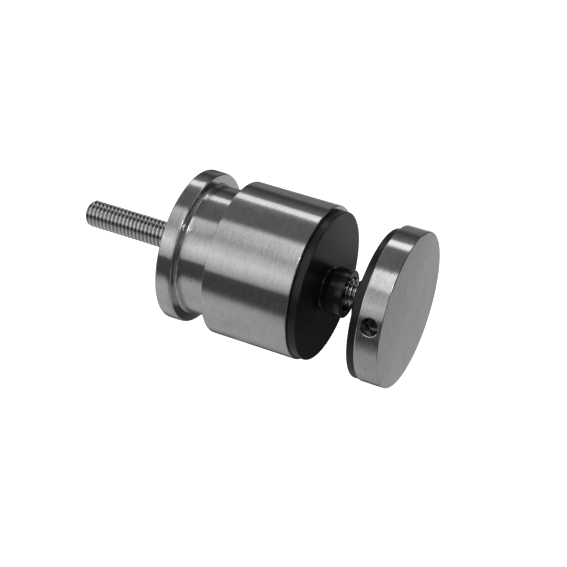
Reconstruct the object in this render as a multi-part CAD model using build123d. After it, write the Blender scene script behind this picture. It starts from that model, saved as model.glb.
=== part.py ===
"""Adjustable glass standoff: a pane is clamped between two gaskets, off a wall.

Millimetres. +X points from the wall to the glass, +Z is up. The origin is the centre of the
flange's back face, which lies on the wall. The sleeve is drawn fully extended from the base.
"""
from build123d import *
import os

# Sleeve and cap have one outer radius. The flange and the gaskets stand in from it.
body_r = 22.5
flange_set_in = 0.3
gasket_set_in = 0.9

# M8 studs. A free or running thread is drawn at its crests, a thread screwed home at its pitch line.
stud_r = 3.95
stud_pitch_r = 3.60
stud_tip = 0.9
thread_clearance = 0.05
wall_stud_free = 34.1
wall_stud_grip = 7.0
stud_end_gap = 0.3
stud_in_cap = 2.2
hole_bevel = 0.6

# Base: the wall flange and the neck, turned in one piece
flange_t = 4.9
flange_edge = 0.3
neck_root = 0.4
neck_in_sleeve = 8.0
neck_end_bevel = 0.5
wall_hole_mouth_r = 4.7

# Sleeve: a cup that telescopes over the neck
extension = 9.8
sleeve_wall = 3.6
sleeve_end_wall = 7.6
sleeve_edge = 0.15
neck_clearance = 0.1
neck_end_gap = 0.5

# Gaskets: flat rings on both sides of the glass, each with a shallow recess for the foot of a bush
gasket_t = 2.5
gasket_bore_r = 4.95
inner_gasket_hang = 0.4
gasket_edge = 0.25
recess_depth = 0.4
recess_clearance = 0.1
glass_gap = 15.1

# Bushes: tubes on the stud that line the hole in the glass, with this gap between their mouths
bush_r = 6.95
bush_bore_r = 4.95
bush_foot_flat = 0.4
bush_lip = 0.2
inner_bush_len = 7.0
bush_gap = 3.5
hang_clearance = 0.1

# Cap
cap_t = 7.0
cap_edge = 0.2
cap_bore_depth = 5.6

# M5 set screw in the cap's rim
screw_r = 2.45
screw_len = 12.0
screw_below_rim = 4.2
screw_bevel = 0.45
screw_angle = 156.9
socket_flats = 2.5
socket_depth = 2.6
screw_mouth_bevel = 0.35

# Radii that follow from the outer one
flange_r = body_r - flange_set_in
gasket_r = body_r - gasket_set_in
sleeve_bore_r = body_r - sleeve_wall
neck_r = sleeve_bore_r - neck_clearance
stud_hole_r = stud_r + thread_clearance

# A ring that is wider than the stud hangs this far below the axis
gasket_hang = gasket_bore_r - stud_r - hang_clearance
bush_hang = bush_bore_r - stud_r - hang_clearance
recess_r = bush_r + bush_hang - inner_gasket_hang + recess_clearance

# Places along X
neck_end = flange_t + extension + neck_in_sleeve
sleeve_back = flange_t + extension
sleeve_floor = neck_end + extension + neck_end_gap
sleeve_front = sleeve_floor + sleeve_end_wall
inner_face = sleeve_front + gasket_t
cap_face = inner_face + glass_gap
cap_back = cap_face + gasket_t
inner_recess = inner_face - recess_depth
cap_recess = cap_face + recess_depth
cap_bush_len = cap_recess - inner_recess - inner_bush_len - bush_gap
cap_front = cap_back + cap_t
front_stud_start = wall_stud_grip + extension + stud_end_gap
front_stud_end = cap_back + stud_in_cap


def corner(profile, x, r):
    """The profile's corner nearest to x along the axis and r from it."""
    return profile.vertices().sort_by_distance((x, r))[0]


def turned(outline, bevels=()):
    """A turned piece: (x, r) corners swept round X, with some corners bevelled."""
    profile = make_face(Polyline(*outline, close=True))
    for x, r, size in bevels:
        profile = chamfer(corner(profile, x, r), size)
    return revolve(profile, Axis.X)


def make_wall_stud():
    outline = [
        (-wall_stud_free, 0),
        (-wall_stud_free, stud_r),
        (0, stud_r),
        (0, stud_pitch_r),
        (wall_stud_grip, stud_pitch_r),
        (wall_stud_grip, 0),
    ]
    return turned(outline, bevels=[(-wall_stud_free, stud_r, stud_tip)])


def make_base():
    grip_r = stud_pitch_r + thread_clearance
    grip_end = wall_stud_grip + thread_clearance
    mouth = wall_hole_mouth_r - grip_r
    outline = [
        (0, wall_hole_mouth_r),
        (0, flange_r),
        (flange_t, flange_r),
        (flange_t, neck_r),
        (neck_end, neck_r),
        (neck_end, stud_hole_r),
        (grip_end, stud_hole_r),
        (grip_end, grip_r),
        (mouth, grip_r),
    ]
    return turned(
        outline,
        bevels=[
            (0, flange_r, flange_edge),
            (flange_t, flange_r, flange_edge),
            (flange_t, neck_r, neck_root),
            (neck_end, neck_r, neck_end_bevel),
            (neck_end, stud_hole_r, hole_bevel),
        ],
    )


def make_body_sleeve():
    outline = [
        (sleeve_back, sleeve_bore_r),
        (sleeve_back, body_r),
        (sleeve_front, body_r),
        (sleeve_front, stud_hole_r),
        (sleeve_floor, stud_hole_r),
        (sleeve_floor, sleeve_bore_r),
    ]
    return turned(
        outline,
        bevels=[
            (sleeve_back, sleeve_bore_r, sleeve_edge),
            (sleeve_back, body_r, sleeve_edge),
            (sleeve_front, body_r, sleeve_edge),
            (sleeve_front, stud_hole_r, hole_bevel),
        ],
    )


def make_front_stud():
    outline = [
        (front_stud_start, 0),
        (front_stud_start, stud_r),
        (front_stud_end, stud_r),
        (front_stud_end, 0),
    ]
    return turned(outline, bevels=[(front_stud_start, stud_r, stud_tip), (front_stud_end, stud_r, stud_tip)])


def make_gasket():
    """A flat ring whose back is at x = 0, with the recess in its other face."""
    recess_floor = gasket_t - recess_depth
    outline = [
        (0, gasket_bore_r),
        (0, gasket_r),
        (gasket_t, gasket_r),
        (gasket_t, recess_r),
        (recess_floor, recess_r),
        (recess_floor, gasket_bore_r),
    ]
    return turned(outline, bevels=[(0, gasket_r, gasket_edge), (gasket_t, gasket_r, gasket_edge)])


def make_bush(length):
    """A tube whose foot is at x = 0, with a wide bevel round the foot."""
    outline = [
        (0, bush_bore_r),
        (0, bush_r),
        (length, bush_r),
        (length, bush_bore_r),
    ]
    foot_bevel = bush_r - bush_bore_r - bush_foot_flat
    return turned(outline, bevels=[(0, bush_r, foot_bevel), (length, bush_r, bush_lip)])


def make_inner_gasket():
    """It sticks to the sleeve's face, so it hangs less than the loose rings."""
    return Pos(sleeve_front, 0, -inner_gasket_hang) * make_gasket()


def make_cap_gasket():
    """It lies loose behind the cap."""
    return Pos(cap_back, 0, -gasket_hang) * Rot(0, 0, 180) * make_gasket()


def make_inner_bush():
    return Pos(inner_recess, 0, -bush_hang) * make_bush(inner_bush_len)


def make_cap_bush():
    return Pos(cap_recess, 0, -bush_hang) * Rot(0, 0, 180) * make_bush(cap_bush_len)


def rim_line():
    """The set screw's axis as a plane: its origin on the cap's axis, its normal out of the rim."""
    middle = Pos((cap_back + cap_front) / 2, 0, 0) * Rot(screw_angle, 0, 0)
    return Plane(middle * Location((0, 0, 0), (-90, 0, 0)))


def make_clamp_cap():
    outline = [
        (cap_back, stud_hole_r),
        (cap_back, body_r),
        (cap_front, body_r),
        (cap_front, 0),
        (cap_back + cap_bore_depth, 0),
        (cap_back + cap_bore_depth, stud_hole_r),
    ]
    disc = turned(
        outline,
        bevels=[
            (cap_back, stud_hole_r, hole_bevel),
            (cap_back, body_r, cap_edge),
            (cap_front, body_r, cap_edge),
        ],
    )
    hole_r = screw_r + thread_clearance
    mouth_r = hole_r + screw_mouth_bevel
    hole = extrude(rim_line() * Circle(hole_r), body_r)
    mouth = rim_line() * Pos(0, 0, body_r) * Cone(0, 2 * mouth_r, 2 * mouth_r)
    return disc - hole - mouth


def make_set_screw():
    outer_end = body_r - screw_below_rim
    screw = rim_line() * Pos(0, 0, outer_end - screw_len / 2) * Cylinder(screw_r, screw_len)
    screw = chamfer(screw.edges().filter_by(GeomType.CIRCLE), screw_bevel)
    socket_r = socket_flats / 2
    socket = rim_line() * Pos(0, 0, outer_end - socket_depth) * RegularPolygon(socket_r, 6, major_radius=False)
    return screw - extrude(socket, socket_depth)


pieces = {
    "wall_stud": make_wall_stud(),
    "base": make_base(),
    "body_sleeve": make_body_sleeve(),
    "front_stud": make_front_stud(),
    "inner_gasket": make_inner_gasket(),
    "inner_bush": make_inner_bush(),
    "cap_gasket": make_cap_gasket(),
    "cap_bush": make_cap_bush(),
    "clamp_cap": make_clamp_cap(),
    "set_screw": make_set_screw(),
}
os.makedirs("parts", exist_ok=True)
for name, piece in pieces.items():
    export_step(piece, f"parts/{name}.step")
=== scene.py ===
"""Glass standoff: finishes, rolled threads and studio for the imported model.

All in metres, with +X from the wall to the glass and +Z up.
"""
from math import radians

import bpy
import numpy as np
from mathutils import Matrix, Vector


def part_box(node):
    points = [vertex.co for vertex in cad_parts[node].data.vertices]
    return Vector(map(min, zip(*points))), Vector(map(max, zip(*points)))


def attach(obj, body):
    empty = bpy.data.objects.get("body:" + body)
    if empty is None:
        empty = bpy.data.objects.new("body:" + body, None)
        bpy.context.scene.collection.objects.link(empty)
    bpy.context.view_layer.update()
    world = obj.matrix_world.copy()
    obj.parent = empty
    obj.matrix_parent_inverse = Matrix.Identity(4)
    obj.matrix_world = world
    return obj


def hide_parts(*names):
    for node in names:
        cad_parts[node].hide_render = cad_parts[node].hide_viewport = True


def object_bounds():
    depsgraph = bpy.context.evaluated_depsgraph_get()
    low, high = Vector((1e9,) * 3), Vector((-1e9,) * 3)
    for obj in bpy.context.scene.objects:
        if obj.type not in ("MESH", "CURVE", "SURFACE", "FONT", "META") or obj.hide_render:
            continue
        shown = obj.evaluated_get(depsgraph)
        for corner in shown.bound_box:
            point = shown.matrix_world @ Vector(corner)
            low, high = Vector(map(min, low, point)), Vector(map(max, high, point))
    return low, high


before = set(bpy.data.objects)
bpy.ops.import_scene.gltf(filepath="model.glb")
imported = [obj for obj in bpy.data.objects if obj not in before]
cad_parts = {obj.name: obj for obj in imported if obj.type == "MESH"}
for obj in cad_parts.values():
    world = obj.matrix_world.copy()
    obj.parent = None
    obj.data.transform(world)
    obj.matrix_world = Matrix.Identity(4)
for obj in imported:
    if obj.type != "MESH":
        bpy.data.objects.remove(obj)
cad_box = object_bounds()

MM = 0.001
MICRON = 0.000001

# Camera, fitted to the object's circles and outline in the photograph. Angles are in degrees, and the lens
# and sensor in millimetres.
CAMERA_AT = (0.1804, -0.3107, 0.28406)
CAMERA_AZIMUTH = 25.947
CAMERA_ELEVATION = 39.854
CAMERA_LENS = 100.5
SENSOR_WIDTH = 36.0
CLIP_START = 0.01

# Meshes: steps round the axis, steps of a rounding, and how near two corners are one
COLUMNS = 360
ROUND_STEPS = 6
WELD = 1e-8

# Base and sleeve, besides what the frame's boxes give
FLANGE_THICKNESS = 4.9 * MM
FLANGE_ROUND = 0.5 * MM
NECK_RADIUS = 18.8 * MM
NECK_ROOT = 0.7 * MM
EASE_LENGTH = 1.1 * MM
EASE_HEIGHT = 0.155 * MM
EASE_ROUND = 10.0 * MM
NECK_END = 0.5 * MM
SLEEVE_BORE = 18.9 * MM
SLEEVE_FLOOR = 33.0 * MM
SLEEVE_ROUND = 0.26 * MM
STUD_HOLE = 4.0 * MM
GRIP_HOLE = 3.65 * MM
GRIP_DEPTH = 7.05 * MM
WALL_HOLE_MOUTH = 4.7 * MM
HOLE_BEVEL = 0.6 * MM

# Gaskets and bushes
GASKET_BORE = 4.95 * MM
GASKET_ROUND = 0.25 * MM
RECESS_RADIUS = 6.4 * MM
RECESS_DEPTH = 0.4 * MM
RECESS_ROUND = 0.15 * MM
BUSH_BORE = 4.95 * MM
BUSH_FOOT_LENGTH = 2.4 * MM
BUSH_FOOT_ROUND = 1.6 * MM
BUSH_WAIST = 5.8 * MM
BEAD_RADIUS = 6.3 * MM
BEAD_LENGTH = 0.9 * MM
BEAD_ROUND = 0.45 * MM
BUSH_LIP = 0.25 * MM

# Cap and the set screw's hole in its rim
CAP_COLUMNS = 720
CAP_ROUND = 0.35 * MM
CAP_BORE_DEPTH = 5.6 * MM
RIM_ROWS = 12
SCREW_ANGLE = radians(156.9)
SCREW_HOLE = 2.5 * MM
SCREW_HOLE_LIP = 0.35 * MM
HOLE_PATCH_COLUMNS = 18
HOLE_PATCH_ROWS = 5

# M8 coarse thread
THREAD_PITCH = 1.25 * MM
THREAD_DEPTH = 0.70 * MM
CREST_SHARE = 0.16
ROOT_SHARE = 0.14
FLANK_EASE = 0.4
TIP_BEVEL = 0.9 * MM
ROWS_PER_TURN = 20
SEGMENTS = 84
SHARP_ANGLE = radians(50)
# The wall stud is plain where it sits in the base, past x = 0
PLAIN_RADIUS = 3.6 * MM
# Radii between which the thread's base colour runs from painted shade in the roots to a painted highlight on
# the crests
SHADED_ROOT_LIT_CREST = (3.3 * MM, 3.85 * MM)

# Turning marks: the least distance from the axis to divide by, how fine the speckle, clouds and pits are,
# the share of the tone that the rings have beside the speckle, and the range of the noise that makes a pit
NEAR_AXIS = 0.00001
SPECKLE_SCALE = 3600.0
CLOUD_SCALE = 240.0
PIT_SCALE = 900.0
RING_SHARE = 0.6
PIT_RANGE = (0.745, 0.79)

# Floor, world and lights. Each light has a name, a place, a size and a power.
FLOOR_DROP = 0.33
FLOOR_SIZE = 8.0
FLOOR_GREY = 0.9
FLOOR_ROUGHNESS = 0.9
FLOOR_GLOW = 0.6
WORLD_LIGHT = 0.35
KEY_LIGHTS = [
    ("key_light", (0.25, -0.75, 0.85), 0.8, 9.0),
    ("fill_light", (-0.7, -0.35, 0.75), 0.8, 5.0),
    ("rim_light", (0.45, 0.75, 0.7), 0.7, 4.0),
]


# Surfaces

def make_piece(name, vertices, faces, normals=None):
    """A mesh object at the origin from an (n, 3) array and a list of faces.

    Normals, where they are given, have a row for each corner of each face.
    """
    mesh = bpy.data.meshes.new(name)
    mesh.from_pydata(vertices.tolist(), [], faces)
    mesh.shade_smooth()
    if normals is not None:
        mesh.normals_split_custom_set(normals.tolist())
    mesh.update()
    piece = bpy.data.objects.new(name, mesh)
    bpy.context.scene.collection.objects.link(piece)
    return piece


def grid_faces(rows, columns):
    """Quads of a grid whose columns close into a ring. Row i, column j is vertex i * columns + j."""
    i, j = np.meshgrid(np.arange(rows - 1), np.arange(columns), indexing="ij")
    low = (i * columns + j).ravel()
    low_next = (i * columns + (j + 1) % columns).ravel()
    return np.column_stack([low, low_next, low_next + columns, low + columns]).tolist()


def cells(low, high):
    """Quads between two (rows, columns + 1, 3) arrays, as (n, 4, 3) corners.

    They face along the cross product of the way along a row and the way from low to high.
    """
    return np.stack([low[:, :-1], low[:, 1:], high[:, 1:], high[:, :-1]], axis=2).reshape(-1, 4, 3)


def weld(name, quads, normals):
    """A piece from quads and their corner normals.

    Corners that share a place are joined, so a quad with a side at the axis becomes a triangle.
    """
    spots = np.rint(quads.reshape(-1, 3) / WELD).astype(np.int64)
    spots, index = np.unique(spots, axis=0, return_inverse=True)
    index = index.reshape(-1, 4)
    low_point = index[:, 0] == index[:, 1]
    high_point = index[:, 2] == index[:, 3]
    plain = ~(low_point | high_point)
    faces, corners = [], []
    for chosen, order in ((plain, [0, 1, 2, 3]), (low_point, [0, 2, 3]), (high_point, [0, 1, 2])):
        faces += index[chosen][:, order].tolist()
        corners.append(normals[chosen][:, order].reshape(-1, 3))
    return make_piece(name, spots * WELD, faces, np.vstack(corners))


def outline_points(corners):
    """Points of a closed outline of (x, r, rounding) corners, with the metal on its right-hand side.

    A rounding is an arc that touches both sides of its corner. Each point comes with the unit normals of
    the side that arrives there and of the side that leaves, which are one on an arc.
    """
    places = np.array([corner[:2] for corner in corners], float)
    sides = np.roll(places, -1, axis=0) - places
    sides = sides / np.linalg.norm(sides, axis=1, keepdims=True)
    normals = np.column_stack([-sides[:, 1], sides[:, 0]])
    points, arriving, leaving = [], [], []
    for k, (x, r, rounding) in enumerate(corners):
        before, after = normals[k - 1], normals[k]
        if rounding == 0:
            points.append(places[k][None])
            arriving.append(before[None])
            leaving.append(after[None])
            continue
        turn = np.arccos(np.clip(before @ after, -1.0, 1.0))
        inward = np.sign(sides[k - 1][0] * sides[k][1] - sides[k - 1][1] * sides[k][0])
        centre = places[k] - sides[k - 1] * rounding * np.tan(turn / 2) + inward * rounding * before
        step = np.linspace(0.0, turn, ROUND_STEPS + 1)[:, None]
        normal = (np.sin(turn - step) * before + np.sin(step) * after) / np.sin(turn)
        points.append(centre - inward * rounding * normal)
        arriving.append(normal)
        leaving.append(normal)
    return np.vstack(points), np.vstack(arriving), np.vstack(leaving)


def swept(profile, a):
    """A profile of (x, r) rows turned through the angles a: the point is (x, r cos a, r sin a)."""
    x, r = profile[:, 0, None], profile[:, 1, None]
    return np.stack([x + 0 * a, r * np.cos(a), r * np.sin(a)], axis=-1)


def lathe(corners, columns=COLUMNS, first=0.0):
    """Quads and corner normals of an outline turned about X. A side that lies on the axis is left out."""
    points, arriving, leaving = outline_points(corners)
    a = first + 2 * np.pi * (np.arange(columns + 1) % columns) / columns
    following = np.roll(points, -1, axis=0)
    kept = np.maximum(points[:, 1], following[:, 1]) > 0
    quads = cells(swept(points, a)[kept], swept(following, a)[kept])
    normals = cells(swept(leaving, a)[kept], swept(np.roll(arriving, -1, axis=0), a)[kept])
    return quads, normals


def turned_piece(name, corners, drop=0.0):
    """A turned piece whose own axis lies a drop below the X axis."""
    quads, normals = lathe(corners)
    quads[..., 2] -= drop
    return weld(name, quads, normals)


def base_piece(low, high):
    """Flange and neck, with the stepped bore of the two studs.

    The rim falls a little towards the flange's front edge, and the neck rises a little towards its root.
    """
    corners = [
        (low.x, WALL_HOLE_MOUTH, 0.0),
        (low.x, high.z, FLANGE_ROUND),
        (low.x + FLANGE_THICKNESS - EASE_LENGTH, high.z, EASE_ROUND),
        (low.x + FLANGE_THICKNESS, high.z - EASE_HEIGHT, FLANGE_ROUND),
        (low.x + FLANGE_THICKNESS, NECK_RADIUS + EASE_HEIGHT, NECK_ROOT),
        (low.x + FLANGE_THICKNESS + EASE_LENGTH, NECK_RADIUS, EASE_ROUND),
        (high.x, NECK_RADIUS, NECK_END),
        (high.x, STUD_HOLE, HOLE_BEVEL),
        (GRIP_DEPTH, STUD_HOLE, 0.0),
        (GRIP_DEPTH, GRIP_HOLE, 0.0),
        (WALL_HOLE_MOUTH - GRIP_HOLE, GRIP_HOLE, 0.0),
    ]
    return turned_piece("base_turned", corners)


def sleeve_piece(low, high):
    """A cup that is open towards the wall, with the front stud's hole in its end wall."""
    corners = [
        (low.x, SLEEVE_BORE, SLEEVE_ROUND),
        (low.x, high.z, SLEEVE_ROUND),
        (high.x, high.z, SLEEVE_ROUND),
        (high.x, STUD_HOLE, HOLE_BEVEL),
        (SLEEVE_FLOOR, STUD_HOLE, 0.0),
        (SLEEVE_FLOOR, SLEEVE_BORE, 0.0),
    ]
    return turned_piece("body_sleeve_turned", corners)


def gasket_piece(name, back, front, radius, drop, recess_drop):
    """A flat ring with rounded edges, and a shallow recess in its front for the foot of a bush.

    The front is towards or away from +X. The recess lies a drop of its own below the X axis, because the
    bush may hang lower than the gasket.
    """
    way = 1 if front > back else -1
    corners = [
        (back, GASKET_BORE, 0.0),
        (back, radius, GASKET_ROUND),
        (front, radius, GASKET_ROUND),
        (front, RECESS_RADIUS, RECESS_ROUND),
        (front - way * RECESS_DEPTH, RECESS_RADIUS, 0.0),
        (front - way * RECESS_DEPTH, GASKET_BORE, 0.0),
    ]
    quads, normals = lathe(corners[::way])
    in_recess = np.abs(np.hypot(quads[..., 1], quads[..., 2]) - RECESS_RADIUS) < 2 * RECESS_ROUND
    quads[..., 2] -= np.where(in_recess, recess_drop, drop)
    return weld(name, quads, normals)


def bush_piece(name, foot, mouth, radius, drop):
    """A tube with a bead round its foot, a waist that widens to a soft shoulder, and a rounded mouth."""
    way = 1 if mouth > foot else -1
    corners = [
        (foot, BUSH_BORE, 0.0),
        (foot, BEAD_RADIUS, 0.0),
        (foot + way * BEAD_LENGTH, BEAD_RADIUS, BEAD_ROUND),
        (foot + way * BEAD_LENGTH, BUSH_WAIST, 0.0),
        (foot + way * BUSH_FOOT_LENGTH, radius, BUSH_FOOT_ROUND),
        (mouth, radius, BUSH_LIP),
        (mouth, BUSH_BORE, BUSH_LIP),
    ]
    return turned_piece(name, corners[::way], drop)


def hole_in_rim(middle, half_width, radius, half_angle, floor):
    """The part of the cap's rim round the set screw's hole, and the hole's wall and floor.

    Rows run from the patch's four-sided border in to the hole's mouth, over its rounded lip, down its
    wall and to the middle of its floor. Each lies at (u, v, h): along X, round the rim, and out along
    the hole. On the rim h is the square root of radius squared less v squared.
    """
    u = np.linspace(-half_width, half_width, RIM_ROWS + 1)
    v = radius * np.sin(np.linspace(-half_angle, half_angle, 2 * HOLE_PATCH_COLUMNS + 1))
    border_u = np.concatenate([0 * v[:-1] - half_width, u[:-1], 0 * v[:-1] + half_width, u[:0:-1]])
    border_v = np.concatenate([v[:-1], 0 * u[:-1] + v[-1], v[:0:-1], 0 * u[:-1] + v[0]])
    border_u, border_v = np.append(border_u, border_u[0]), np.append(border_v, border_v[0])
    across = np.hypot(border_u, border_v)
    ray_u, ray_v = border_u / across, border_v / across
    rows, normals = [], []
    for share in np.linspace(0.0, 1.0, HOLE_PATCH_ROWS + 1):
        reach = (1 - share) * across + share * (SCREW_HOLE + SCREW_HOLE_LIP)
        height = np.sqrt(radius**2 - (reach * ray_v) ** 2)
        rows.append([reach * ray_u, reach * ray_v, height])
        normals.append([0 * height, reach * ray_v / radius, height / radius])
    for turn in np.linspace(0.0, np.pi / 2, ROUND_STEPS + 1)[1:]:
        reach = SCREW_HOLE + SCREW_HOLE_LIP * (1 - np.sin(turn))
        height = np.sqrt(radius**2 - (reach * ray_v) ** 2)
        rows.append([reach * ray_u, reach * ray_v, height - SCREW_HOLE_LIP * (1 - np.cos(turn))])
        rim, wall = np.cos(turn), np.sin(turn)
        normals.append([-wall * ray_u, (rim * reach / radius - wall) * ray_v, rim * height / radius])
    rows.append([SCREW_HOLE * ray_u, SCREW_HOLE * ray_v, 0 * ray_u + floor])
    normals.append([-ray_u, -ray_v, 0 * ray_u])
    rows.append([0 * ray_u, 0 * ray_u, 0 * ray_u + floor])
    rows, normals = np.array(rows), np.array(normals)
    low_normals = np.concatenate([normals[:-1], np.array([0 * ray_u, 0 * ray_u, 1 + 0 * ray_u])[None]])
    high_normals = np.concatenate([normals[1:], low_normals[-1:]])
    out = np.array([0.0, np.cos(SCREW_ANGLE), np.sin(SCREW_ANGLE)])
    round_rim = np.array([0.0, -np.sin(SCREW_ANGLE), np.cos(SCREW_ANGLE)])
    axes = np.array([[1.0, 0.0, 0.0], round_rim, out])
    places = np.einsum("rkc,kx->rcx", rows, axes) + np.array([middle, 0.0, 0.0])
    low_normals = np.einsum("rkc,kx->rcx", low_normals, axes)
    high_normals = np.einsum("rkc,kx->rcx", high_normals, axes)
    return cells(places[:-1], places[1:]), cells(low_normals, high_normals)


def cap_piece(low, high):
    """The cap: a turned disc with a blind bore, and the set screw's hole let into its rim."""
    half_width = (high.x - low.x) / 2 - CAP_ROUND
    middle = (low.x + high.x) / 2
    rim_places = middle + np.linspace(-half_width, half_width, RIM_ROWS + 1)[1:-1]
    corners = [
        (low.x, STUD_HOLE, HOLE_BEVEL),
        (low.x, high.z, CAP_ROUND),
        *[(x, high.z, 0.0) for x in rim_places],
        (high.x, high.z, CAP_ROUND),
        (high.x, 0.0, 0.0),
        (low.x + CAP_BORE_DEPTH, 0.0, 0.0),
        (low.x + CAP_BORE_DEPTH, STUD_HOLE, 0.0),
    ]
    quads, normals = lathe(corners, CAP_COLUMNS, SCREW_ANGLE)
    centres = quads.mean(axis=1)
    half_angle = 2 * np.pi * HOLE_PATCH_COLUMNS / CAP_COLUMNS
    out = centres[:, 1] * np.cos(SCREW_ANGLE) + centres[:, 2] * np.sin(SCREW_ANGLE)
    on_patch = (out > high.z * np.cos(half_angle)) & (np.abs(centres[:, 0] - middle) < half_width)
    hole_quads, hole_normals = hole_in_rim(middle, half_width, high.z, half_angle, STUD_HOLE)
    quads = np.vstack([quads[~on_patch], hole_quads])
    normals = np.vstack([normals[~on_patch], hole_normals])
    return weld("clamp_cap_turned", quads, normals)


def thread_ripple(turns):
    """Share of the thread depth taken off at a place counted in turns along the helix.

    0 on the crest's flat and 1 in the root. The flank between them is a straight line mixed with a half
    wave of a cosine, which softens its ends as on a rolled thread.
    """
    from_crest = np.abs((turns % 1.0) - 0.5) * 2.0
    flank = np.clip((from_crest - CREST_SHARE) / (1.0 - CREST_SHARE - ROOT_SHARE), 0.0, 1.0)
    softened = 0.5 - 0.5 * np.cos(np.pi * flank)
    return (1 - FLANK_EASE) * flank + FLANK_EASE * softened


def threaded_rod(name, start, end, crest_radius, plain_from=None, plain_radius=0.0, bevel_end=True):
    """A right-hand threaded rod along X, closed by flat ends.

    The radius at axial place x and angle a is the crest radius less the thread's depth times the
    ripple at x / pitch - a / turn. It is no more than a 45 degree cone at each bevelled end, and it is
    plain_radius past plain_from.
    """
    rows = int(round((end - start) / THREAD_PITCH * ROWS_PER_TURN)) + 1
    x = np.linspace(start, end, rows)[:, None]
    a = np.linspace(0.0, 2 * np.pi, SEGMENTS, endpoint=False)[None, :]
    radius = crest_radius - THREAD_DEPTH * thread_ripple(x / THREAD_PITCH - a / (2 * np.pi))
    radius = np.minimum(radius, crest_radius - TIP_BEVEL + (x - start))
    if bevel_end:
        radius = np.minimum(radius, crest_radius - TIP_BEVEL + (end - x))
    if plain_from is not None:
        radius = np.where(x > plain_from, plain_radius, radius)
    points = np.stack([x + 0 * a, radius * np.cos(a), radius * np.sin(a)], axis=-1).reshape(-1, 3)
    centres = np.array([[start, 0.0, 0.0], [end, 0.0, 0.0]])
    faces = grid_faces(rows, SEGMENTS)
    first, last = rows * SEGMENTS, rows * SEGMENTS + 1
    ring = np.arange(SEGMENTS)
    following = (ring + 1) % SEGMENTS
    top = (rows - 1) * SEGMENTS
    faces += np.column_stack([following, ring, np.full(SEGMENTS, first)]).tolist()
    faces += np.column_stack([top + ring, top + following, np.full(SEGMENTS, last)]).tolist()
    rod = make_piece(name, np.vstack([points, centres]), faces)
    rod.data.set_sharp_from_angle(angle=SHARP_ANGLE)
    return rod


# Node groups for effects that several finishes share

def new_group(name, inputs, outputs):
    """An empty shader node group with number inputs (name, default) and number outputs (name)."""
    group = bpy.data.node_groups.new(name, "ShaderNodeTree")
    for label, value in inputs:
        socket = group.interface.new_socket(label, in_out="INPUT", socket_type="NodeSocketFloat")
        socket.default_value = value
    for label in outputs:
        group.interface.new_socket(label, in_out="OUTPUT", socket_type="NodeSocketFloat")
    return group, group.nodes.new("NodeGroupInput"), group.nodes.new("NodeGroupOutput")


def maths(tree, operation, first, second=None):
    """A Math node. Each operand is a socket or a number. Gives its output socket."""
    node = tree.nodes.new("ShaderNodeMath")
    node.operation = operation
    for socket, value in zip(node.inputs, (first, second)):
        if value is None:
            continue
        if isinstance(value, (int, float)):
            socket.default_value = value
        else:
            tree.links.new(value, socket)
    return node.outputs[0]


def around_axis(tree):
    """Sockets for the place along the turned profile, the two parts of the unit circle, and the radius."""
    place = tree.nodes.new("ShaderNodeTexCoord")
    split = tree.nodes.new("ShaderNodeSeparateXYZ")
    tree.links.new(place.outputs["Object"], split.inputs[0])
    x, y, z = split.outputs
    squares = maths(tree, "ADD", maths(tree, "MULTIPLY", y, y), maths(tree, "MULTIPLY", z, z))
    radius = maths(tree, "SQRT", squares)
    safe = maths(tree, "MAXIMUM", radius, NEAR_AXIS)
    along = maths(tree, "ADD", x, radius)
    return along, maths(tree, "DIVIDE", y, safe), maths(tree, "DIVIDE", z, safe), radius


def noise_of(tree, vector, scale, detail, roughness):
    """A noise value of that scale at a vector."""
    node = tree.nodes.new("ShaderNodeTexNoise")
    tree.links.new(vector, node.inputs["Vector"])
    node.inputs["Scale"].default_value = scale
    node.inputs["Detail"].default_value = detail
    node.inputs["Roughness"].default_value = roughness
    return node.outputs["Fac"]


def turning_marks_group():
    """Rings left by turning and brushing.

    Noise that is fine along the profile and longer round the axis, with a speckle, soft clouding and a few
    small pits that run in no direction.
    """
    group, given, out = new_group(
        "turning_marks",
        [("Lines per metre", 3200.0), ("Arcs", 8.0)],
        ["Lines", "Tone", "Clouds", "Pits", "Radius"],
    )
    along, across, up, radius = around_axis(group)
    fine = maths(group, "MULTIPLY", along, given.outputs["Lines per metre"])
    arcs = given.outputs["Arcs"]
    vector = group.nodes.new("ShaderNodeCombineXYZ")
    group.links.new(fine, vector.inputs[0])
    group.links.new(maths(group, "MULTIPLY", across, arcs), vector.inputs[1])
    group.links.new(maths(group, "MULTIPLY", up, arcs), vector.inputs[2])
    lines = noise_of(group, vector.outputs[0], 1.0, 2.0, 0.5)
    place = group.nodes.new("ShaderNodeTexCoord").outputs["Object"]
    speckle = noise_of(group, place, SPECKLE_SCALE, 1.0, 0.5)
    ring_part = maths(group, "MULTIPLY", lines, RING_SHARE)
    tone = maths(group, "ADD", ring_part, maths(group, "MULTIPLY", speckle, 1.0 - RING_SHARE))
    clouds = noise_of(group, place, CLOUD_SCALE, 4.0, 0.55)
    pits = spread(group, noise_of(group, place, PIT_SCALE, 1.0, 0.5), 0.0, 1.0, *PIT_RANGE)
    group.links.new(lines, out.inputs["Lines"])
    group.links.new(tone, out.inputs["Tone"])
    group.links.new(clouds, out.inputs["Clouds"])
    group.links.new(pits, out.inputs["Pits"])
    group.links.new(radius, out.inputs["Radius"])
    return group


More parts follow.
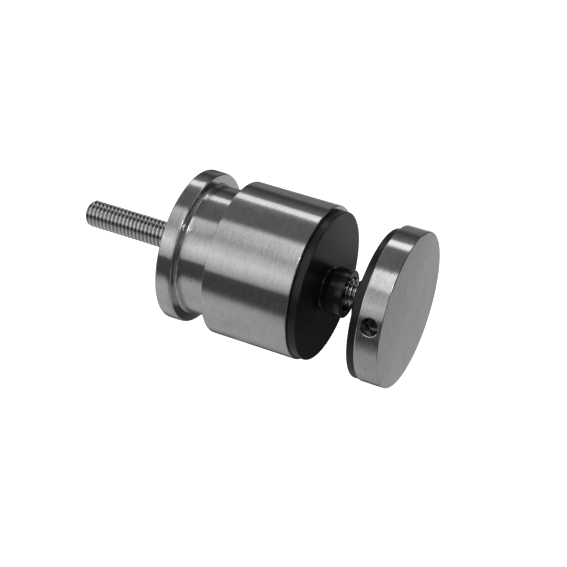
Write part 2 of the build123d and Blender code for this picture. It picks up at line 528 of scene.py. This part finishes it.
def soft_grain_group():
    """Faint clouding and a fine grain, the same in every direction."""
    group, given, out = new_group("soft_grain", [("Grains per metre", 5000.0)], ["Grain", "Clouds"])
    place = group.nodes.new("ShaderNodeTexCoord")
    scaled = group.nodes.new("ShaderNodeVectorMath")
    scaled.operation = "SCALE"
    group.links.new(place.outputs["Object"], scaled.inputs[0])
    group.links.new(given.outputs["Grains per metre"], scaled.inputs["Scale"])
    group.links.new(noise_of(group, scaled.outputs[0], 1.0, 2.0, 0.6), out.inputs["Grain"])
    group.links.new(noise_of(group, scaled.outputs[0], 0.04, 3.0, 0.5), out.inputs["Clouds"])
    return group


def place_group(tree, group, **values):
    """A node that uses a group. An underscore in a value's name stands for the blank in the input's name."""
    node = tree.nodes.new("ShaderNodeGroup")
    node.node_tree = group
    for label, value in values.items():
        node.inputs[label.replace("_", " ")].default_value = value
    return node


def new_finish(name):
    """A new material, its node tree and its shader."""
    material = bpy.data.materials.new(name)
    material.use_nodes = True
    tree = material.node_tree
    return material, tree, tree.nodes["Principled BSDF"]


def spread(tree, factor, low, high, from_low=0.3, from_high=0.7):
    """A number that runs from low to high as factor runs from from_low to from_high."""
    node = tree.nodes.new("ShaderNodeMapRange")
    tree.links.new(factor, node.inputs["Value"])
    node.inputs["From Min"].default_value = from_low
    node.inputs["From Max"].default_value = from_high
    node.inputs["To Min"].default_value = low
    node.inputs["To Max"].default_value = high
    return node.outputs["Result"]


def grey(tree, level):
    """The same number on all three colour channels."""
    node = tree.nodes.new("ShaderNodeCombineColor")
    for socket in node.inputs:
        tree.links.new(level, socket)
    return node.outputs[0]


def bump(tree, height, distance):
    """Normals of a surface that stands out by the distance where the height is 1."""
    node = tree.nodes.new("ShaderNodeBump")
    node.inputs["Distance"].default_value = distance
    node.inputs["Strength"].default_value = 1.0
    tree.links.new(height, node.inputs["Height"])
    return node.outputs["Normal"]


def round_axis_tangent(tree):
    """Tangents that run round the X axis, the way the turning marks do."""
    node = tree.nodes.new("ShaderNodeTangent")
    node.direction_type = "RADIAL"
    node.axis = "X"
    return node.outputs["Tangent"]


def turned_steel(marks):
    """Stainless steel with fine turning rings: sharp reflections round the axis, stretched along it."""
    material, tree, shader = new_finish("turned_steel")
    rings = place_group(tree, marks)
    brushed = spread(tree, rings.outputs["Tone"], 0.52, 0.67, 0.34, 0.66)
    clouded = maths(tree, "ADD", brushed, spread(tree, rings.outputs["Clouds"], -0.04, 0.04))
    tone = maths(tree, "MULTIPLY", clouded, spread(tree, rings.outputs["Pits"], 1.0, 0.55, 0.0, 1.0))
    tree.links.new(grey(tree, tone), shader.inputs["Base Color"])
    tree.links.new(spread(tree, rings.outputs["Tone"], 0.12, 0.17, 0.34, 0.66), shader.inputs["Roughness"])
    shader.inputs["Metallic"].default_value = 1.0
    shader.inputs["Anisotropic"].default_value = 0.9
    shader.inputs["Anisotropic Rotation"].default_value = 0.25
    tree.links.new(round_axis_tangent(tree), shader.inputs["Tangent"])
    tree.links.new(bump(tree, rings.outputs["Lines"], 4 * MICRON), shader.inputs["Normal"])
    return material


def thread_steel(marks):
    """Rolled thread, its base colour painted dark in the roots as shade and bright on the crests as a
    highlight.
    """
    material, tree, shader = new_finish("thread_steel")
    rings = place_group(tree, marks, Lines_per_metre=4000.0, Arcs=6.0)
    # Painted shade and highlight: the base colour is darker where the radius is less, in the roots, and
    # bright at the crests
    crest = spread(tree, rings.outputs["Radius"], 0.30, 0.82, *SHADED_ROOT_LIT_CREST)
    tree.links.new(grey(tree, crest), shader.inputs["Base Color"])
    shader.inputs["Metallic"].default_value = 1.0
    tree.links.new(spread(tree, rings.outputs["Lines"], 0.06, 0.16), shader.inputs["Roughness"])
    tree.links.new(bump(tree, rings.outputs["Lines"], 6 * MICRON), shader.inputs["Normal"])
    return material


def screw_steel(grain):
    """Plain steel of the set screw, its base colour kept dark as painted shade for its place deep in the
    cap's hole.
    """
    material, tree, shader = new_finish("screw_steel")
    clouds = place_group(tree, grain, Grains_per_metre=3000.0)
    # Painted shade: the dark base colour stands in for the shade deep in the hole
    tone = spread(tree, clouds.outputs["Grain"], 0.14, 0.24)
    tree.links.new(grey(tree, tone), shader.inputs["Base Color"])
    shader.inputs["Metallic"].default_value = 1.0
    tree.links.new(spread(tree, clouds.outputs["Clouds"], 0.22, 0.34), shader.inputs["Roughness"])
    tree.links.new(bump(tree, clouds.outputs["Grain"], 8 * MICRON), shader.inputs["Normal"])
    return material


def gasket_rubber(grain):
    """Black moulded rubber of the flat gaskets, with a satin skin."""
    material, tree, shader = new_finish("gasket_rubber")
    clouds = place_group(tree, grain, Grains_per_metre=4000.0)
    tone = spread(tree, clouds.outputs["Clouds"], 0.004, 0.008)
    tree.links.new(grey(tree, tone), shader.inputs["Base Color"])
    tree.links.new(spread(tree, clouds.outputs["Grain"], 0.26, 0.36), shader.inputs["Roughness"])
    shader.inputs["Specular IOR Level"].default_value = 0.38
    tree.links.new(bump(tree, clouds.outputs["Grain"], 6 * MICRON), shader.inputs["Normal"])
    return material


def bush_rubber(grain):
    """Harder black rubber of the bushes, with a glossy skin."""
    material, tree, shader = new_finish("bush_rubber")
    clouds = place_group(tree, grain, Grains_per_metre=3000.0)
    tone = spread(tree, clouds.outputs["Clouds"], 0.003, 0.006)
    tree.links.new(grey(tree, tone), shader.inputs["Base Color"])
    tree.links.new(spread(tree, clouds.outputs["Grain"], 0.12, 0.20), shader.inputs["Roughness"])
    tree.links.new(bump(tree, clouds.outputs["Grain"], 4 * MICRON), shader.inputs["Normal"])
    return material


# Studio

# The tent is a tube about the X axis. Its grey levels change over TENT_DRAWN along X and carry on past it.
TENT_RADIUS = 0.3
TENT_LENGTH = 3.0
TENT_DRAWN = (-0.3, 0.4)
TENT_ROWS = 141
TENT_ANGLES = (-50.0, 310.0)
TENT_COLUMN_WIDTH = 0.5
# Levels by the angle about X, in degrees from +Y towards +Z. The base and sleeve see the first table, which
# is drawn abreast of x = BODY_ABREAST, and the cap sees the second. A STEP is a smooth step along X, and an
# ANGLE_STEP one by the angle: where it starts and where it is full. STEPS are two of them, the first where
# something comes in and the second where it goes out.
# Both are dark low behind, about 285 to 310 degrees: painted shadow that the object casts on what lies under
# it
BODY_LEVELS = [
    (-50, 0.34), (-42, 0.42), (-30, 0.33), (-24, 0.285), (-21, 0.26), (-18, 0.225), (-15, 0.20),
    (-9, 0.195), (3, 0.22), (9, 0.18), (12, 0.12), (15, 0.07), (19, 0.06), (23, 0.09), (29, 0.13),
    (33, 0.17), (36.8, 0.22), (38.2, 0.50), (39.2, 1.12), (48.2, 1.16), (49.6, 0.90), (51.0, 0.42),
    (52.6, 0.26), (56, 0.19), (66, 0.15), (85, 0.15), (89.5, 0.18), (92.0, 0.35), (94, 0.60), (97, 0.75),
    (102, 0.70), (107, 0.62), (113, 0.58), (116, 0.50), (119, 0.44), (124, 0.48), (130, 0.66),
    (137, 0.78), (144, 0.95), (148, 0.88), (154, 0.76), (160, 0.60), (164, 0.50), (167.2, 0.34),
    (168.3, 0.09), (176, 0.07), (190, 0.062), (196, 0.095), (199, 0.17), (202, 0.36), (206, 0.44),
    (211, 0.50), (220, 0.49), (240, 0.44), (265, 0.44), (271, 0.42), (277, 0.36), (283, 0.28),
    (288, 0.17), (294, 0.12), (310, 0.16),
]
CAP_LEVELS = [
    (-50, 0.30), (-42, 0.56), (-24, 0.52), (-21, 0.49), (-18, 0.42), (-15, 0.32), (-12, 0.25), (-9, 0.21),
    (-3, 0.20), (6, 0.20), (12, 0.15), (15, 0.09), (20, 0.065), (27, 0.10), (33, 0.14), (40, 0.21),
    (42.6, 0.32), (43.8, 1.15), (47, 1.45), (53.5, 1.30), (55.4, 0.76), (56.8, 0.37), (59, 0.18),
    (66, 0.16), (87, 0.15), (93.8, 0.17), (96.2, 0.30), (97.6, 0.75), (99.5, 1.04), (105, 1.10),
    (113, 1.00), (119, 0.99), (122, 0.72), (125, 0.47), (134, 0.49), (142, 0.54), (148, 0.64),
    (153, 0.54), (160, 0.43), (163, 0.28), (164.2, 0.07), (170, 0.062), (177, 0.058), (181, 0.08),
    (184, 0.115), (188, 0.085), (195, 0.05), (200, 0.08), (206, 0.13), (210, 0.20), (215, 0.30),
    (220, 0.35), (229, 0.38), (247, 0.40), (271, 0.37), (280, 0.33), (286, 0.25), (292, 0.14),
    (298, 0.11), (310, 0.13),
]
BODY_ABREAST = -0.079
CAP_STEP = (-0.058, -0.030)
# The share of the body's level that the flange sees, by the angle, and where along X the sleeve's begins
FLANGE_SHARE = [
    (-50, 0.45), (-8, 0.47), (0, 0.73), (12, 0.72), (17, 1.15), (45, 1.10), (54, 0.92), (90, 0.90),
    (125, 0.95), (131, 1.08), (205, 1.05), (220, 1.14), (265, 1.14), (280, 1.0),
]
FLANGE_STEP = (-0.114, -0.107)
# How far the panels lean, in degrees per metre along X, by their angle, and the stretch that they lean on
PANEL_LEAN = [
    (-50, 200), (-10, 200), (30, 60), (44, 40), (48, 65), (56, 70), (85, 20), (92, 10), (130, 120),
    (166, 10), (185, 60), (200, 85), (215, 60), (270, 0), (310, 200),
]
LEANING = (-0.105, -0.05)
# A bright strip that begins abreast of the sleeve, and that only rounded edges see
STRIP_LEVEL = 1.8
STRIP_ANGLE_STEPS = ((92.0, 98.0), (122.0, 128.0))
STRIP_STEP = (0.004, 0.016)
# The cloth past the cap: dark, with a pale end below
FAR_STEP = (0.10, 0.13)
DARK_END = 0.035
PALE_END = 0.34
PALE_ANGLE_STEP = (220.0, 236.0)
# A stretch of paler cloth further out, which the sleeve shows when it is seen from the wall's side
BACK_LEVELS = [
    (-50, 0.46), (-20, 0.42), (5, 0.28), (25, 0.60), (60, 0.80), (85, 0.36), (110, 0.58), (130, 0.42),
    (152, 0.42), (168, 0.30), (185, 0.16), (205, 0.42), (250, 0.50), (290, 0.34), (310, 0.46),
]
BACK_STEPS = ((0.21, 0.245), (0.34, 0.39))
# The panel below that the flat faces see: its two levels, and where the first gives way to the second
PANEL_LEVELS = (0.54, 0.26)
PANEL_FALL_STEP = (0.132, 0.160)
PANEL_STEPS = ((0.09, 0.12), (0.19, 0.24))
PANEL_ANGLE_STEPS = ((280.0, 290.0), (-30.0, -20.0))
# A small lamp high on the left, seen as glints: its place along X, its angle, its half size in both and its
# level. It fades from LAMP_CORE of its half size on.
LAMP_SPOT = (0.135, 115.0, 0.014, 6.0, 14.0)
LAMP_CORE = 0.7
# Painted shadow: the flag's darkness stands for the shade that the object casts under the glass gap
# A dark flag close under the glass gap: levels by its angle about X, and a glow where it starts
FLAG_RADIUS = 0.040
FLAG_LEVELS = [
    (-104, 0.26), (-98, 0.10), (-88, 0.07), (-75, 0.035), (-46, 0.04), (-34, 0.13), (-22, 0.38),
    (-10, 0.46),
]
FLAG_ENDS = (0.012, 0.067)
FLAG_GRID = (23, 65)
FLAG_GLOW = 0.12
FLAG_GLOW_LENGTH = 0.008
# Its upper part is darker by this share past a place along X, as more painted shade
FLAG_SHADE = 0.4
SHADE_STEP = (0.054, 0.062)
SHADE_ANGLE_STEP = (-46.0, -34.0)
# A pale notch at its end, which the mouth of the inner bush shows
NOTCH_LEVEL = 0.55
NOTCH_STEP = (0.0605, 0.063)
NOTCH_ANGLE_STEPS = ((-46.0, -40.0), (-30.0, -24.0))
# A dark ring out in front, which the cap's front edge shows instead of the stretch of paler cloth. It starts
# at the level FRONT_FIRST, and is as dark as DARK_END from a FRONT_FADE further on.
FRONT_RADIUS = 0.100
FRONT_ENDS = (0.108, 0.190)
FRONT_ANGLES = (0.0, 232.0)
FRONT_GRID = (21, 91)
FRONT_FIRST = 0.40
FRONT_FADE = 0.020


def table(rows, at):
    """A table of (place, value) rows, read at an array of places with straight lines between."""
    places, values = np.array(rows, float).T
    return np.interp(at, places, values)


def eased(at, start, end):
    """0 before start, 1 after end, and a smooth step between."""
    share = np.clip((at - start) / (end - start), 0.0, 1.0)
    return share * share * (3.0 - 2.0 * share)


def between(at, rise, fall):
    """1 after one smooth step and before another, and 0 elsewhere."""
    return eased(at, *rise) * (1.0 - eased(at, *fall))


def mixed(first, second, share):
    """The first level where the share is 0, the second where it is 1, and a straight mix between."""
    return first + (second - first) * share


def tent_levels(x, degrees):
    """The tent's grey level at a place along X and an angle about it.

    The body's table leans along X, and the flange sees a share of it. The cap's table takes over past the
    sleeve, and the bright strip lies on it. The cloth past the cap is dark, with its pale end and the
    stretch for views from behind. The panel for the flat faces and the lamp come on top.
    """
    ahead = np.clip(x, *LEANING) - BODY_ABREAST
    body = table(BODY_LEVELS, degrees - table(PANEL_LEAN, degrees) * ahead)
    body = mixed(body * table(FLANGE_SHARE, degrees), body, eased(x, *FLANGE_STEP))
    level = mixed(body, table(CAP_LEVELS, degrees), eased(x, *CAP_STEP))
    level = mixed(level, STRIP_LEVEL, between(degrees, *STRIP_ANGLE_STEPS) * eased(x, *STRIP_STEP))
    far = mixed(DARK_END, PALE_END, eased(degrees, *PALE_ANGLE_STEP))
    far = mixed(far, table(BACK_LEVELS, degrees), between(x, *BACK_STEPS))
    level = mixed(level, far, eased(x, *FAR_STEP))
    panel = mixed(*PANEL_LEVELS, eased(x, *PANEL_FALL_STEP))
    comes_in, goes_out = PANEL_ANGLE_STEPS
    below = eased(degrees, *comes_in) + 1.0 - eased(degrees, *goes_out)
    level = mixed(level, panel, below * between(x, *PANEL_STEPS))
    place, angle, half_length, half_angle, strength = LAMP_SPOT
    off = np.hypot((x - place) / half_length, (degrees - angle) / half_angle)
    return level + strength * (1.0 - eased(off, LAMP_CORE, 1.0))


def tent_cloth():
    """A cloth that glows at the grey level stored at its points."""
    material = bpy.data.materials.new("tent_cloth")
    material.use_nodes = True
    tree = material.node_tree
    tree.nodes.clear()
    level = tree.nodes.new("ShaderNodeAttribute")
    level.attribute_name = "level"
    out = tree.nodes.new("ShaderNodeOutputMaterial")
    glow = tree.nodes.new("ShaderNodeEmission")
    tree.links.new(level.outputs["Fac"], glow.inputs["Strength"])
    tree.links.new(glow.outputs[0], out.inputs[0])
    return material


def hang_cloth(name, x, degrees, radius, levels, cloth, closed=False):
    """A tube about the X axis, or part of one, with a grey level at each point. Only reflections see it.

    The point at a column of places along X and a row of angles a is (x, radius cos a, radius sin a).
    """
    a = np.radians(degrees)
    points = np.stack([x + 0 * a, radius * np.cos(a) + 0 * x, radius * np.sin(a) + 0 * x], axis=-1)
    rows, columns = points.shape[:2]
    faces = np.array(grid_faces(rows, columns)).reshape(rows - 1, columns, 4)
    if not closed:
        faces = faces[:, :-1]
    hung = make_piece(name, points.reshape(-1, 3), faces.reshape(-1, 4).tolist())
    store = hung.data.attributes.new("level", "FLOAT", "POINT")
    store.data.foreach_set("value", levels.ravel().astype(np.float32))
    hung.data.materials.append(cloth)
    hung.visible_camera = False
    hung.visible_diffuse = False
    hung.visible_shadow = False
    hung.visible_transmission = False


def light_tent(cloth):
    """The light tent, a long tube about the X axis."""
    drawn = np.linspace(*TENT_DRAWN, TENT_ROWS)
    x = np.concatenate([[-TENT_LENGTH / 2], drawn, [TENT_LENGTH / 2]])[:, None]
    degrees = np.arange(*TENT_ANGLES, TENT_COLUMN_WIDTH)[None, :]
    levels = tent_levels(np.clip(x, *TENT_DRAWN), degrees)
    hang_cloth("light_tent", x, degrees, TENT_RADIUS, levels, cloth, closed=True)


def painted_shadow_flag(cloth):
    """The flag close under the glass gap, whose darkness is painted shadow, with its glow, its darker upper
    part and its pale notch.
    """
    start, end = FLAG_ENDS
    rows, columns = FLAG_GRID
    x = np.linspace(start, end, rows)[:, None]
    degrees = np.linspace(FLAG_LEVELS[0][0], FLAG_LEVELS[-1][0], columns)[None, :]
    levels = table(FLAG_LEVELS, degrees) + FLAG_GLOW * (1.0 - eased(x, start, start + FLAG_GLOW_LENGTH))
    shaded = eased(x, *SHADE_STEP) * eased(degrees, *SHADE_ANGLE_STEP)
    in_notch = eased(x, *NOTCH_STEP) * between(degrees, *NOTCH_ANGLE_STEPS)
    levels = mixed(levels * (1.0 - FLAG_SHADE * shaded), NOTCH_LEVEL, in_notch)
    hang_cloth("painted_shadow_flag", x, degrees, FLAG_RADIUS, levels, cloth)


def front_flag(cloth):
    """The dark ring out in front of the cap."""
    start, end = FRONT_ENDS
    rows, columns = FRONT_GRID
    x = np.linspace(start, end, rows)[:, None]
    degrees = np.linspace(*FRONT_ANGLES, columns)[None, :]
    levels = mixed(FRONT_FIRST, DARK_END, eased(x, start, start + FRONT_FADE)) + 0 * degrees
    hang_cloth("front_flag", x, degrees, FRONT_RADIUS, levels, cloth)


def seen_directly(tree):
    """1 for camera, glossy and transmission rays, which see the studio's white, and 0 for the rest."""
    rays = tree.nodes.new("ShaderNodeLightPath")
    seen = maths(tree, "MAXIMUM", rays.outputs["Is Camera Ray"], rays.outputs["Is Glossy Ray"])
    return maths(tree, "MAXIMUM", seen, rays.outputs["Is Transmission Ray"])


def white_world():
    """A world that is seen as white, and lights the object with less."""
    world = bpy.data.worlds.new("studio")
    bpy.context.scene.world = world
    world.use_nodes = True
    tree = world.node_tree
    back = tree.nodes["Background"]
    back.inputs["Color"].default_value = (1.0, 1.0, 1.0, 1.0)
    strength = spread(tree, seen_directly(tree), WORLD_LIGHT, 1.0, 0.0, 1.0)
    tree.links.new(strength, back.inputs["Strength"])


def pale_floor(lowest):
    """A square floor a drop below the lowest point, which glows a little where it is seen."""
    half = FLOOR_SIZE / 2
    z = lowest - FLOOR_DROP
    corners = np.array([[-half, -half, z], [half, -half, z], [half, half, z], [-half, half, z]])
    floor = make_piece("floor", corners, [(0, 1, 2, 3)])
    material = bpy.data.materials.new("pale_floor")
    material.use_nodes = True
    tree = material.node_tree
    shader = tree.nodes["Principled BSDF"]
    shader.inputs["Base Color"].default_value = (FLOOR_GREY, FLOOR_GREY, FLOOR_GREY, 1.0)
    shader.inputs["Roughness"].default_value = FLOOR_ROUGHNESS
    glow = tree.nodes.new("ShaderNodeEmission")
    tree.links.new(maths(tree, "MULTIPLY", seen_directly(tree), FLOOR_GLOW), glow.inputs["Strength"])
    total = tree.nodes.new("ShaderNodeAddShader")
    tree.links.new(shader.outputs[0], total.inputs[0])
    tree.links.new(glow.outputs[0], total.inputs[1])
    tree.links.new(total.outputs[0], tree.nodes["Material Output"].inputs[0])
    floor.data.materials.append(material)


def aim(thing, place, target):
    """Puts a light at a place, turned so that its -Z looks at the target."""
    thing.location = place
    thing.rotation_euler = (Vector(target) - Vector(place)).to_track_quat("-Z", "Y").to_euler()


def soft_lights(centre):
    """Large lights aimed at the object's centre, which no reflection shows."""
    for name, place, size, power in KEY_LIGHTS:
        lamp = bpy.data.lights.new(name, "AREA")
        lamp.size = size
        lamp.energy = power
        light = bpy.data.objects.new(name, lamp)
        bpy.context.scene.collection.objects.link(light)
        light.visible_glossy = False
        light.visible_camera = False
        aim(light, place, centre)


def set_camera():
    """The camera at the photograph's angle."""
    lens = bpy.data.cameras.new("camera")
    lens.lens = CAMERA_LENS
    lens.sensor_width = SENSOR_WIDTH
    lens.clip_start = CLIP_START
    camera = bpy.data.objects.new("camera", lens)
    bpy.context.scene.collection.objects.link(camera)
    camera.location = CAMERA_AT
    camera.rotation_euler = (radians(90 - CAMERA_ELEVATION), 0.0, radians(CAMERA_AZIMUTH))
    bpy.context.scene.camera = camera


def dress(thing, material):
    """Gives an object one material in place of those that it has."""
    thing.data.materials.clear()
    thing.data.materials.append(material)


def place(piece, node, body, slot, finish):
    """Sets a finished piece in place of its CAD node."""
    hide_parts(node)
    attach(piece, body)
    dress(piece, finish)


def ring_sizes(low, high, towards_glass):
    """Back, front, radius and drop below the X axis of a round rubber piece, from the corners of its box."""
    back, front = (low.x, high.x) if towards_glass else (high.x, low.x)
    return back, front, (high.z - low.z) / 2, -(high.z + low.z) / 2


marks = turning_marks_group()
grain = soft_grain_group()
steel = turned_steel(marks)
thread = thread_steel(marks)
gasket = gasket_rubber(grain)
bush = bush_rubber(grain)
dress(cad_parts["set_screw"], screw_steel(grain))

place(base_piece(*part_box("base")), "base", "base", "turned_steel", steel)
place(sleeve_piece(*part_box("body_sleeve")), "body_sleeve", "sleeve", "turned_steel", steel)
place(cap_piece(*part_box("clamp_cap")), "clamp_cap", "cap", "turned_steel", steel)
for ring, liner, towards_glass in (("inner_gasket", "inner_bush", True), ("cap_gasket", "cap_bush", False)):
    foot, mouth, liner_radius, liner_drop = ring_sizes(*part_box(liner), towards_glass)
    tube = bush_piece(liner + "_turned", foot, mouth, liner_radius, liner_drop)
    place(tube, liner, ring, "gasket_rubber", bush)
    back, front, radius, drop = ring_sizes(*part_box(ring), towards_glass)
    flat = gasket_piece(ring + "_turned", back, front, radius, drop, liner_drop)
    place(flat, ring, ring, "gasket_rubber", gasket)

stud_low, stud_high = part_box("wall_stud")
wall_thread = threaded_rod(
    "wall_stud_thread",
    stud_low.x,
    stud_high.x,
    stud_high.z,
    plain_from=0.0,
    plain_radius=PLAIN_RADIUS,
    bevel_end=False,
)
place(wall_thread, "wall_stud", "base", "stud_steel", thread)
rod_low, rod_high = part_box("front_stud")
front_thread = threaded_rod("front_stud_thread", rod_low.x, rod_high.x, rod_high.z)
place(front_thread, "front_stud", "sleeve", "stud_steel", thread)

white_world()
pale_floor(cad_box[0][2])
cloth = tent_cloth()
light_tent(cloth)
painted_shadow_flag(cloth)
front_flag(cloth)
soft_lights([(low + high) / 2 for low, high in zip(*cad_box)])
set_camera()
bpy.context.scene.view_settings.view_transform = "Standard"
